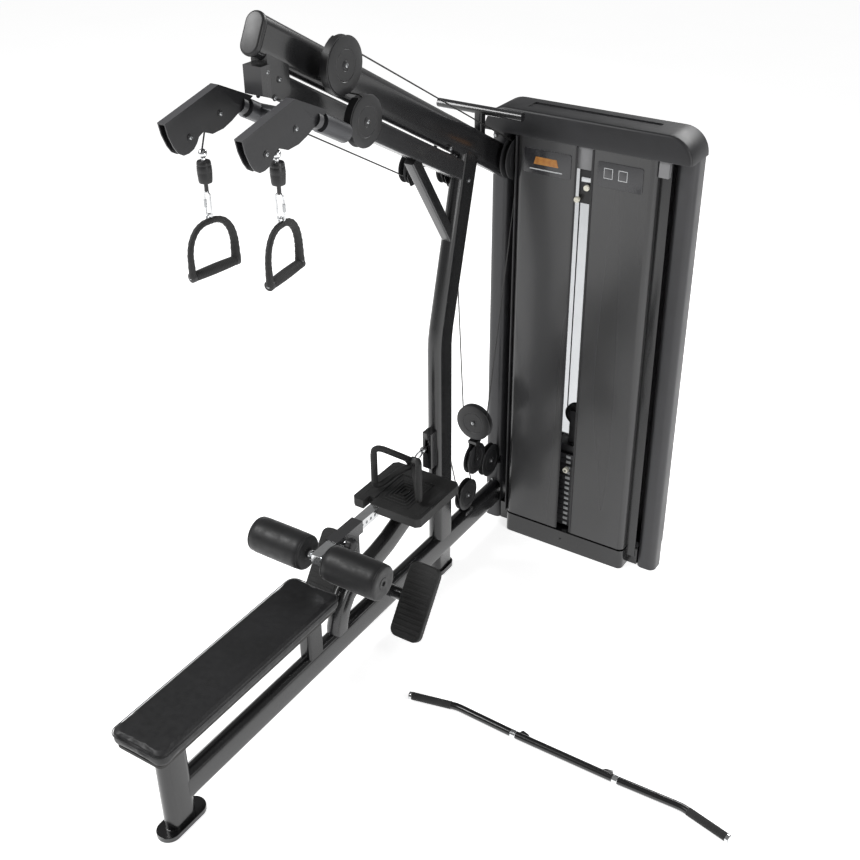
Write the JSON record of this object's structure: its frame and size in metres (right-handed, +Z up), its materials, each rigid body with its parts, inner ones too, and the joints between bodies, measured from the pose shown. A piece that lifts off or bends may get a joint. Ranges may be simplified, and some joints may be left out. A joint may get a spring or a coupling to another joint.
{
  "type": "lat pulldown machine",
  "caption": "Lat pulldown and low row station with a bench seat, thigh rollers, swivelling pulley arms, D-handles and an enclosed weight stack tower.",
  "frame": {"origin": "on the floor under the main post, at the middle of the post's foot", "axes": "+Z up, +Y from the seat towards the weight tower, +X towards the tower's far side"},
  "size_m": [1.8064, 2.255, 2.4171],
  "materials": {
    "frame_black": "gloss powder coat",
    "column_charcoal": "satin powder coat",
    "housing_grey": "satin",
    "end_cap": "moulded",
    "vinyl": "fine grain vinyl",
    "plywood": "dark stained board",
    "rubber": "ribbed",
    "strap_rubber": "wrapped webbing",
    "shroud_smoke": "smoked acrylic over black",
    "cover_grey": "satin grey sheet cover",
    "plates": "black enamel",
    "chrome": "polished",
    "pulley": "moulded nylon",
    "cable": "nylon coated wire rope"
  },
  "bodies": {
    "frame": {"base_rail": "frame_black", "front_leg": "frame_black", "main_post": "frame_black", "top_boom": "frame_black", "boom_cap": "end_cap", "pulley_beam": "frame_black", "beam_hanger": "frame_black", "swivel_yoke": "housing_grey", "seat_pad": "vinyl", "seat_board": "plywood", "curved_support": "frame_black", "handle_tray": "rubber", "tower_base": "frame_black", "top_cover": "cover_grey", "shroud_rear": "shroud_smoke", "shroud_left": "shroud_smoke", "shroud_right": "shroud_smoke", "left_column": "column_charcoal", "right_column": "column_charcoal", "guide_rod_left": "chrome", "guide_rod_right": "chrome", "weight_plates": "plates", "row_pulley_box": "frame_black", "footplate_left": "rubber", "footplate_right": "rubber", "pull_cable": "cable", "row_cable": "cable", "stack_cable": "cable"},
    "stack": {"lifted_plates": "plates"},
    "selector_pin": {"selector_pin": "chrome"},
    "stack_pulley": {"stack_pulley": "pulley"},
    "floating_block": {"floating_block": "frame_black"},
    "float_upper_pulley": {"float_upper_pulley": "pulley"},
    "float_lower_pulley": {"float_lower_pulley": "pulley"},
    "boom_upper_pulley": {"boom_upper_pulley": "pulley"},
    "boom_lower_pulley": {"boom_lower_pulley": "pulley"},
    "tower_pulley": {"tower_pulley": "pulley"},
    "guide_pulley": {"guide_pulley": "pulley"},
    "rear_guide_pulley": {"rear_guide_pulley": "pulley"},
    "row_pulley": {"row_pulley": "pulley"},
    "low_pulley": {"low_pulley": "pulley"},
    "column_pulley": {"column_pulley": "pulley"},
    "roller_carriage": {"roller_carriage": "column_charcoal"},
    "pop_pin": {"pop_pin": "end_cap"},
    "roller_left": {"roller_left": "vinyl"},
    "roller_right": {"roller_right": "vinyl"},
    "row_handle": {"row_handle": "rubber"},
    "lat_bar": {"lat_bar": "rubber"},
    "arm_left": {"arm_housing_left": "housing_grey"},
    "arm_rear_pulley_left": {"arm_rear_pulley_left": "pulley"},
    "arm_front_pulley_left": {"arm_front_pulley_left": "pulley"},
    "cable_end_left": {"cable_end_left": "chrome"},
    "handle_frame_left": {"handle_frame_left": "strap_rubber"},
    "handle_grip_left": {"handle_grip_left": "rubber"},
    "arm_right": {"arm_housing_right": "housing_grey"},
    "arm_rear_pulley_right": {"arm_rear_pulley_right": "pulley"},
    "arm_front_pulley_right": {"arm_front_pulley_right": "pulley"},
    "cable_end_right": {"cable_end_right": "chrome"},
    "handle_frame_right": {"handle_frame_right": "strap_rubber"},
    "handle_grip_right": {"handle_grip_right": "rubber"}
  },
  "joints": [
    {"name": "stack_lift", "type": "slide", "parent": "frame", "child": "stack", "axis": [0, 0, 1], "range_m": [0, 0.7], "deforming": ["stack_cable"]},
    {"name": "block_lift", "type": "slide", "parent": "frame", "child": "floating_block", "axis": [0, 0, 1], "range_m": [0, 0.7], "deforming": ["pull_cable", "row_cable"]},
    {"name": "selector_pull", "type": "slide", "parent": "stack", "child": "selector_pin", "axis": [0, -1, 0], "range_m": [0, 0.09]},
    {"name": "boom_upper_pulley_spin", "type": "hinge", "parent": "frame", "child": "boom_upper_pulley", "pos_m": [0.092, -0.652, 2.235], "axis": [1, 0, 0], "range_deg": [0, 760]},
    {"name": "boom_lower_pulley_spin", "type": "hinge", "parent": "frame", "child": "boom_lower_pulley", "pos_m": [0.1315, -0.613, 2.072], "axis": [1, 0, 0], "range_deg": [-760, 0]},
    {"name": "tower_pulley_spin", "type": "hinge", "parent": "frame", "child": "tower_pulley", "pos_m": [0.064, 0.408, 1.654], "axis": [1, 0, 0], "range_deg": [0, 760]},
    {"name": "guide_pulley_spin", "type": "hinge", "parent": "frame", "child": "guide_pulley", "pos_m": [-0.128, 0.009, 1.701], "axis": [1, 0, 0], "range_deg": [-1148, 0]},
    {"name": "rear_guide_pulley_spin", "type": "hinge", "parent": "frame", "child": "rear_guide_pulley", "pos_m": [-0.058, 0.142, 1.672], "axis": [1, 0, 0], "range_deg": [0, 935]},
    {"name": "column_pulley_spin", "type": "hinge", "parent": "frame", "child": "column_pulley", "pos_m": [0.012, 0.366, 0.34], "axis": [1, 0, 0], "range_deg": [-1517, 0]},
    {"name": "float_lower_pulley_spin", "type": "hinge", "parent": "floating_block", "child": "float_lower_pulley", "pos_m": [0.012, 0.245, 0.415], "axis": [1, 0, 0], "range_deg": [0, 789]},
    {"name": "stack_pulley_spin", "type": "hinge", "parent": "stack", "child": "stack_pulley", "pos_m": [0.356, 0.476, 0.6152], "axis": [0, 1, 0], "range_deg": [0, 915]},
    {"name": "float_upper_pulley_spin", "type": "hinge", "parent": "floating_block", "child": "float_upper_pulley", "pos_m": [0.012, 0.245, 0.588], "axis": [0, 1, 0], "continuous": true},
    {"name": "row_pull", "type": "slide", "parent": "frame", "child": "row_handle", "axis": [0, -0.9613, 0.2756], "range_m": [0, 0.6]},
    {"name": "row_pulley_spin", "type": "hinge", "parent": "frame", "child": "row_pulley", "pos_m": [0, 0.006, 0.604], "axis": [1, 0, 0], "range_deg": [0, 840]},
    {"name": "low_pulley_spin", "type": "hinge", "parent": "frame", "child": "low_pulley", "pos_m": [0.012, 0.18, 0.272], "axis": [1, 0, 0], "range_deg": [-652, 0]},
    {"name": "arm_swivel_left", "type": "hinge", "parent": "frame", "child": "arm_left", "pos_m": [-0.1315, -0.763, 2.0925], "axis": [0, 0.8771, -0.4802], "range_deg": [-10, 40]},
    {"name": "arm_rear_pulley_left_spin", "type": "hinge", "parent": "arm_left", "child": "arm_rear_pulley_left", "pos_m": [-0.1315, -0.939, 2.139], "axis": [1, 0, 0], "range_deg": [0, 1085]},
    {"name": "arm_front_pulley_left_spin", "type": "hinge", "parent": "arm_left", "child": "arm_front_pulley_left", "pos_m": [-0.1315, -1.066, 2.106], "axis": [1, 0, 0], "continuous": true},
    {"name": "cable_pull_left", "type": "slide", "parent": "arm_left", "child": "cable_end_left", "axis": [0, 0, -1], "range_m": [0, 0.7]},
    {"name": "handle_swing_left", "type": "hinge", "parent": "cable_end_left", "child": "handle_frame_left", "pos_m": [-0.1315, -1.009, 1.8575], "axis": [0.9903, -0.1392, 0], "range_deg": [-30, 30]},
    {"name": "grip_spin_left", "type": "hinge", "parent": "handle_frame_left", "child": "handle_grip_left", "pos_m": [-0.1315, -1.009, 1.7], "axis": [0.1392, 0.9903, 0], "continuous": true},
    {"name": "arm_swivel_right", "type": "hinge", "parent": "frame", "child": "arm_right", "pos_m": [0.1315, -0.763, 2.0925], "axis": [0, 0.8771, -0.4802], "range_deg": [-40, 10]},
    {"name": "arm_rear_pulley_right_spin", "type": "hinge", "parent": "arm_right", "child": "arm_rear_pulley_right", "pos_m": [0.1315, -0.939, 2.139], "axis": [1, 0, 0], "range_deg": [0, 1085]},
    {"name": "arm_front_pulley_right_spin", "type": "hinge", "parent": "arm_right", "child": "arm_front_pulley_right", "pos_m": [0.1315, -1.066, 2.106], "axis": [1, 0, 0], "continuous": true},
    {"name": "cable_pull_right", "type": "slide", "parent": "arm_right", "child": "cable_end_right", "axis": [0, 0, -1], "range_m": [0, 0.7]},
    {"name": "handle_swing_right", "type": "hinge", "parent": "cable_end_right", "child": "handle_frame_right", "pos_m": [0.1315, -1.009, 1.9015], "axis": [0.9903, 0.1392, 0], "range_deg": [-30, 30]},
    {"name": "grip_spin_right", "type": "hinge", "parent": "handle_frame_right", "child": "handle_grip_right", "pos_m": [0.1315, -1.009, 1.744], "axis": [-0.1392, 0.9903, 0], "continuous": true},
    {"name": "carriage_slide", "type": "slide", "parent": "frame", "child": "roller_carriage", "axis": [0, 1, 0], "range_m": [-0.08, 0.02]},
    {"name": "roller_spin_left", "type": "hinge", "parent": "roller_carriage", "child": "roller_left", "pos_m": [-0.159, -0.787, 0.561], "axis": [1, 0, 0], "continuous": true},
    {"name": "roller_spin_right", "type": "hinge", "parent": "roller_carriage", "child": "roller_right", "pos_m": [0.159, -0.787, 0.561], "axis": [1, 0, 0], "continuous": true},
    {"name": "pop_pin_pull", "type": "slide", "parent": "frame", "child": "pop_pin", "axis": [1, 0, 0], "range_m": [0, 0.012], "stiffness_N_per_m": 300, "springref_m": -0.02},
    {"name": "lat_bar_lift", "type": "slide", "parent": "frame", "child": "lat_bar", "axis": [0, 0, 1], "range_m": [0, 0.3]}
  ],
  "couplings": [
    {"joint": "block_lift", "follows": "stack_lift", "ratio": 1},
    {"joint": "boom_upper_pulley_spin", "follows": "stack_lift", "rad_per_m": 18.83},
    {"joint": "boom_lower_pulley_spin", "follows": "stack_lift", "rad_per_m": -18.83},
    {"joint": "tower_pulley_spin", "follows": "stack_lift", "rad_per_m": 18.83},
    {"joint": "guide_pulley_spin", "follows": "stack_lift", "rad_per_m": -28.5},
    {"joint": "rear_guide_pulley_spin", "follows": "stack_lift", "rad_per_m": 23.2},
    {"joint": "column_pulley_spin", "follows": "stack_lift", "rad_per_m": -37.7},
    {"joint": "float_lower_pulley_spin", "follows": "stack_lift", "rad_per_m": 19.57},
    {"joint": "stack_pulley_spin", "follows": "stack_lift", "rad_per_m": 22.7},
    {"joint": "row_pulley_spin", "follows": "row_pull", "rad_per_m": 24.3},
    {"joint": "low_pulley_spin", "follows": "row_pull", "rad_per_m": -18.83},
    {"joint": "arm_rear_pulley_left_spin", "follows": "stack_lift", "rad_per_m": 26.95},
    {"joint": "cable_pull_left", "follows": "stack_lift", "ratio": 1},
    {"joint": "arm_rear_pulley_right_spin", "follows": "stack_lift", "rad_per_m": 26.95},
    {"joint": "cable_pull_right", "follows": "stack_lift", "ratio": 1}
  ]
}
